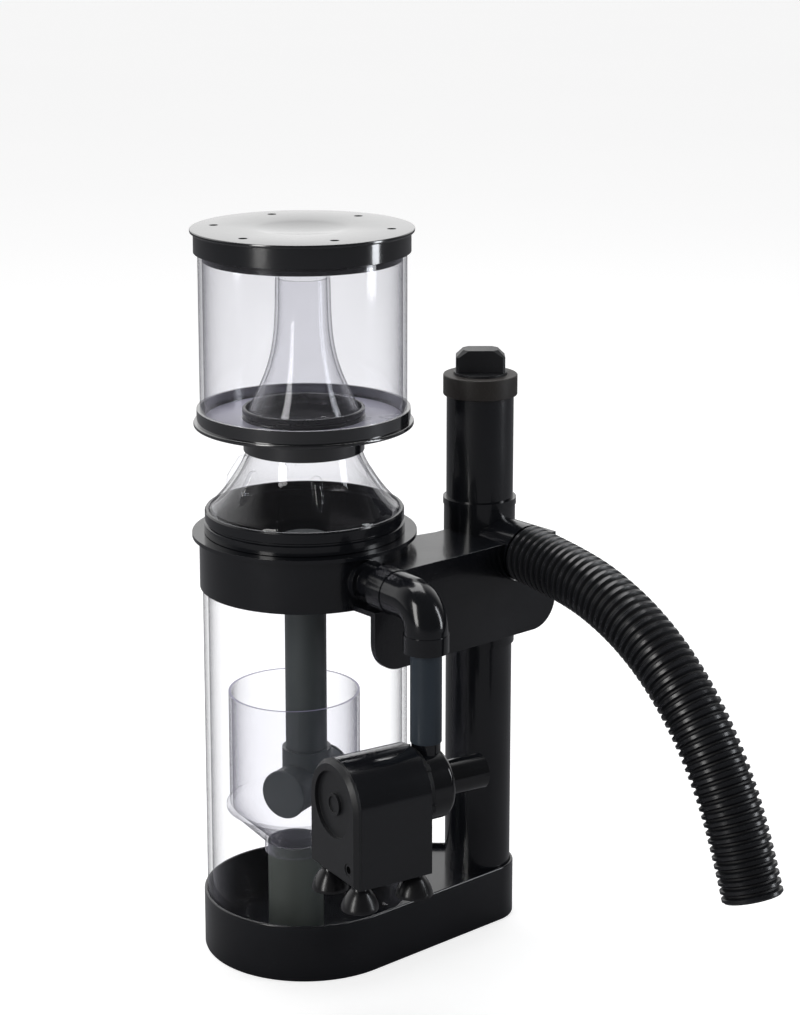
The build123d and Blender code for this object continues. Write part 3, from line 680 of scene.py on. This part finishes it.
@dataclass
class Riser(SubAssembly):
    """The overflow riser: pipe, tee, turning sleeve, cap ring and plug."""

    edge: float = 0.6 * MM

    def skins(self) -> dict[str, Skin]:
        """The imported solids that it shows, and how."""
        return {
            "lower_riser_pipe": Skin(BLACK),
            "outlet_tee": Skin(BLACK),
            "riser_sleeve": Skin(BLACK),
            "riser_cap_ring": Skin(RUBBER),
            "riser_plug": Skin(SATIN, self.edge),
        }


@dataclass
class Bracket(SubAssembly):
    """The plate and deck that hang the skimmer on a glass rim."""

    edge: float = 0.8 * MM

    def skins(self) -> dict[str, Skin]:
        """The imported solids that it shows, and how."""
        return {"hang_bracket": Skin(BLACK, self.edge)}


@dataclass
class Pump(SubAssembly):
    """The side pump with its rotor, nozzle and suction feet."""

    edge: float = 0.7 * MM

    def skins(self) -> dict[str, Skin]:
        """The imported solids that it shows, and how."""
        return {
            "pump_body": Skin(PUMP_BLACK, self.edge),
            "pump_cover": Skin(SATIN, 0.3 * MM),
            "cable_gland": Skin(CUP_RUBBER),
            "lock_ring": Skin(SATIN),
            "volute": Skin(PUMP_BLACK),
            "pump_shaft": Skin(CERAMIC),
            "rotor_magnet": Skin(SATIN),
            "impeller": Skin(SATIN),
            "suction_cups": Skin(CUP_RUBBER, crease=Crease.SOFT),
        }


# ------------------------------------------------------------------ outlet hose
@dataclass
class OutletHose:
    """The ribbed hose that droops from the outlet branch.

    Attributes:
        radius: over the ribs.
        groove: the depth between two ribs.
        bore: the radius of its inside.
        pitch: from rib to rib.
        riser_x: the riser's axis.
        heading: the direction of the branch, in degrees.
        route: (reach from the riser's axis, height) of the line's control points.
        around: faces round the hose.
        rib: (share of the pitch, share of the groove's depth) along one rib.
        inner_rings: how many rings line the bore.
    """

    radius: float = 17.2 * MM
    groove: float = 1.9 * MM
    bore: float = 14.4 * MM
    pitch: float = 4.7 * MM
    riser_x: float = 110.5 * MM
    heading: float = -70.4
    route: tuple[tuple[float, float], ...] = (
        (0.0410, 0.2395), (0.0833, 0.2353), (0.1214, 0.2230), (0.1523, 0.2044), (0.1782, 0.1794),
        (0.1988, 0.1499), (0.2146, 0.1175), (0.2254, 0.0853))
    around: int = 56
    rib: tuple[tuple[float, float], ...] = (
        (0.0, 1.0), (0.2, 1.0), (0.3, 0.5), (0.42, 0.0), (0.78, 0.0), (0.9, 0.5))
    inner_rings: int = 60

    def control_points(self) -> list[Vector]:
        """The route's points on the object."""
        turn = math.radians(self.heading)
        return [Vector((self.riser_x + s * math.cos(turn), s * math.sin(turn), z)) for s, z in self.route]

    def centre_line(self) -> list[Vector]:
        """Reads the hose's smooth line.

        Returns:
            Points along the spline, close together.
        """
        curve = bpy.data.curves.new("outlet_hose_line", "CURVE")
        curve.dimensions = "3D"
        spline = curve.splines.new("NURBS")
        points = self.control_points()
        spline.points.add(len(points) - 1)
        for target, point in zip(spline.points, points):
            target.co = (*point, 1.0)
        spline.order_u = 3
        spline.use_endpoint_u = True
        spline.resolution_u = 40
        holder = bpy.data.objects.new("outlet_hose_line", curve)
        mesh = bpy.data.meshes.new_from_object(holder)
        line = [vertex.co.copy() for vertex in mesh.vertices]
        bpy.data.objects.remove(holder)
        bpy.data.curves.remove(curve)
        bpy.data.meshes.remove(mesh)
        return line

    def rings(self, length: float) -> list[tuple[float, float, float]]:
        """The hose's section lines, out along the ribs and back through the bore.

        Args:
            length: of the centre line.

        Returns:
            (distance along the line, radius, 1 on a crest and 0 in a groove).
        """
        count = int(length / self.pitch)
        pitch = length / count
        lines = []
        for index in range(count):
            for share, depth in self.rib:
                lines.append(((index + share) * pitch, self.radius - depth * self.groove, 1.0 - depth))
        lines.append((length, self.radius - self.groove * 0.6, 0.4))
        lines.append((length, self.bore, 0.0))
        for step in range(1, self.inner_rings + 1):
            lines.append((length * (1.0 - step / self.inner_rings), self.bore, 0.0))
        return lines

    def section_place(self, line: list[Vector], along: list[float], distance: float) -> Matrix:
        """Stands a section across the hose.

        Args:
            line: points of the centre line.
            along: each point's distance from the start.
            distance: where the section is.

        Returns:
            The section's place, its Z along the hose.
        """
        index = max(i for i, reached in enumerate(along[:-1]) if reached <= distance + NO_LENGTH)
        share = (distance - along[index]) / (along[index + 1] - along[index])
        forward = (line[index + 1] - line[index]).normalized()
        if 0 < index < len(line) - 2:
            before = (line[index] - line[index - 1]).normalized()
            after = (line[index + 2] - line[index + 1]).normalized()
            forward = ((before + forward) * (1 - share) + (forward + after) * share).normalized()
        turn = math.radians(self.heading)
        side = Vector((-math.sin(turn), math.cos(turn), 0.0))
        place = Matrix((side, forward.cross(side), forward)).transposed().to_4x4()
        place.translation = line[index].lerp(line[index + 1], share)
        return place

    def wall(self, line: list[Vector], along: list[float]) -> bmesh.types.BMesh:
        """Sweeps the ribbed wall along the line.

        Args:
            line: points of the centre line.
            along: each point's distance from the start.

        Returns:
            A closed mesh with the crests marked.
        """
        shape = bmesh.new()
        crest_layer = shape.verts.layers.float.new(CREST_LAYER)
        ring = bmesh.ops.create_circle(shape, segments=self.around, radius=1.0)["verts"]
        corners = [vert.co.copy() for vert in ring]
        first = edges = list(shape.edges)
        for number, (distance, radius, crest) in enumerate(self.rings(along[-1])):
            if number:
                grown = bmesh.ops.extrude_edge_only(shape, edges=edges)["geom"]
                ring = [item for item in grown if isinstance(item, bmesh.types.BMVert)]
                edges = [item for item in grown if isinstance(item, bmesh.types.BMEdge)]
            place = self.section_place(line, along, distance)
            for vert, corner in zip(ring, corners):
                vert.co = place @ (corner * radius)
                vert[crest_layer] = crest
        bmesh.ops.bridge_loops(shape, edges=first + edges)
        bmesh.ops.recalc_face_normals(shape, faces=shape.faces)
        return shape

    def build(self) -> bpy.types.Object:
        """Returns:
            The hose.
        """
        line = self.centre_line()
        along = [0.0]
        for here, there in zip(line, line[1:]):
            along.append(along[-1] + (there - here).length)
        length = along[-1]
        hose = add_piece("ribbed_outlet_hose", self.wall(line, along), HOSE_RUBBER, "root", Crease.SOFT)
        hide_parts("outlet_hose")
        tuple(line[0])
        [tuple(point) for point in line]
        log.info("OutletHose: %s, %.0f mm long", hose.name, length / MM)
        return hose


# ------------------------------------------------------------------ studio
@dataclass
class Studio:
    """The camera, the floor and the lights.

    Attributes:
        eye: the camera's place.
        heading: its direction from +Y towards +X, in degrees.
        dip: how far it looks down, in degrees.
        focal: the focal length over the picture's longer side.
        shift: the lens shift, as a share of the picture's longer side.
        floor_half: half the floor's width.
        floor_glow: how far the floor shows white by itself.
        room_front: the room's light from the camera's side.
        room_back: its light from behind the object.
        white_from: how far round to +Y the room is fully white.
    """

    eye: tuple[float, float, float] = (-0.4370, -1.3243, 0.6572)
    heading: float = 20.554
    dip: float = 12.034
    focal: float = 2.4346
    shift: float = -0.15
    floor_half: float = 30.0
    floor_glow: float = 0.72
    room_front: float = 0.07
    room_back: float = 1.0
    white_from: float = 0.7

    def build_camera(self) -> None:
        """Makes the scene's camera."""
        lens = bpy.data.cameras.new("studio_camera")
        lens.sensor_width = 36.0
        lens.lens = self.focal * lens.sensor_width
        lens.shift_y = self.shift
        lens.clip_start = 0.01
        camera = bpy.data.objects.new("studio_camera", lens)
        camera.location = self.eye
        camera.rotation_euler = (math.radians(90.0 - self.dip), 0.0, -math.radians(self.heading))
        bpy.context.scene.collection.objects.link(camera)
        bpy.context.scene.camera = camera

    def build_floor(self) -> None:
        """Makes the pale floor."""
        shape = bmesh.new()
        bmesh.ops.create_grid(shape, x_segments=1, y_segments=1, size=self.floor_half)
        mesh = bpy.data.meshes.new("studio_floor")
        shape.to_mesh(mesh)
        shape.free()
        graph = Graph("pale_floor")
        tone = graph.blend(graph.noise(1.5, 2.0), (0.50, 0.50, 0.505), (0.54, 0.54, 0.54))
        seen = graph.node("ShaderNodeBsdfPrincipled", {}, {
            "Base Color": tone, "Roughness": 0.8, "Specular IOR Level": 0.1,
            "Emission Color": (1.0, 1.0, 1.0, 1.0), "Emission Strength": self.floor_glow})
        lit = graph.node("ShaderNodeBsdfDiffuse", {}, {"Color": (0.22, 0.22, 0.23, 1.0)})
        camera_ray = graph.node("ShaderNodeLightPath", {}, {}).outputs["Is Camera Ray"]
        mesh.materials.append(graph.finish(graph.node("ShaderNodeMixShader", {}, {
            0: camera_ray, 1: lit.outputs[0], 2: seen.outputs[0]})))
        floor = bpy.data.objects.new("studio_floor", mesh)
        bpy.context.scene.collection.objects.link(floor)

    @staticmethod
    def softbox(
        name: str, place: Vector, aim: Vector, size: tuple[float, float], power: float, tone: Colour
    ) -> None:
        """Adds a large soft light.

        Args:
            name: its name.
            place: where it stands.
            aim: what it points at.
            size: its width and height.
            power: in watts.
            tone: its colour.
        """
        light = bpy.data.lights.new(name, "AREA")
        light.shape = "RECTANGLE"
        light.size, light.size_y = size
        light.energy = power
        light.color = tone
        holder = bpy.data.objects.new(name, light)
        holder.location = place
        holder.rotation_euler = (aim - place).to_track_quat("-Z", "Y").to_euler()
        bpy.context.scene.collection.objects.link(holder)

    def build_lights(self) -> None:
        """Makes the room's glow and the soft boxes."""
        aim = Vector((0.05, -0.03, 0.24))
        self.softbox("left_box", Vector((-1.7, -0.9, 0.9)), aim, (0.5, 1.6), 17.0, (1.0, 0.99, 0.97))
        self.softbox("right_box", Vector((1.8, -0.9, 0.7)), aim, (0.35, 1.5), 12.0, (0.93, 0.96, 1.0))
        self.softbox("top_box", Vector((0.1, 0.5, 2.0)), aim, (1.6, 1.2), 22.0, (1.0, 1.0, 1.0))
        self.build_room()
        bpy.context.scene.view_settings.view_transform = "Standard"
        bpy.context.scene.cycles.transparent_max_bounces = 48

    def build_room(self) -> None:
        """Makes a room that is white behind the object and dim in front of it."""
        world = bpy.data.worlds.new("studio_world")
        world.use_nodes = True
        tree = world.node_tree
        glow = tree.nodes["Background"]
        ray = tree.nodes.new("ShaderNodeLightPath")
        direction = tree.nodes.new("ShaderNodeTexCoord")
        split = tree.nodes.new("ShaderNodeSeparateXYZ")
        tree.links.new(direction.outputs["Generated"], split.inputs[0])
        fade = tree.nodes.new("ShaderNodeMapRange")
        fade.interpolation_type = "SMOOTHSTEP"
        ends = {
            "From Min": 0.0, "From Max": self.white_from, "To Min": self.room_front, "To Max": self.room_back}
        for name, number in ends.items():
            fade.inputs[name].default_value = number
        tree.links.new(split.outputs["Y"], fade.inputs["Value"])
        brightest = tree.nodes.new("ShaderNodeMath")
        brightest.operation = "MAXIMUM"
        tree.links.new(fade.outputs["Result"], brightest.inputs[0])
        tree.links.new(ray.outputs["Is Camera Ray"], brightest.inputs[1])
        tree.links.new(brightest.outputs[0], glow.inputs["Strength"])
        glow.inputs["Color"].default_value = (1.0, 1.0, 1.0, 1.0)
        bpy.context.scene.world = world

    def build(self) -> None:
        """Makes the camera, floor and lights."""
        self.build_camera()
        self.build_floor()
        self.build_lights()
        log.info("Studio: camera, floor and lights")


def main() -> None:
    """Builds the studio and the object."""
    logging.basicConfig(level=logging.INFO, format="%(name)s %(message)s")
    Studio().build()
    OutletHose().build()
    for group in (Base(), Column(), Inlet(), FoamCone(), FoamCup(), Lid(), Riser(), Bracket(), Pump()):
        group.build()


if __name__ == "__main__":
    main()
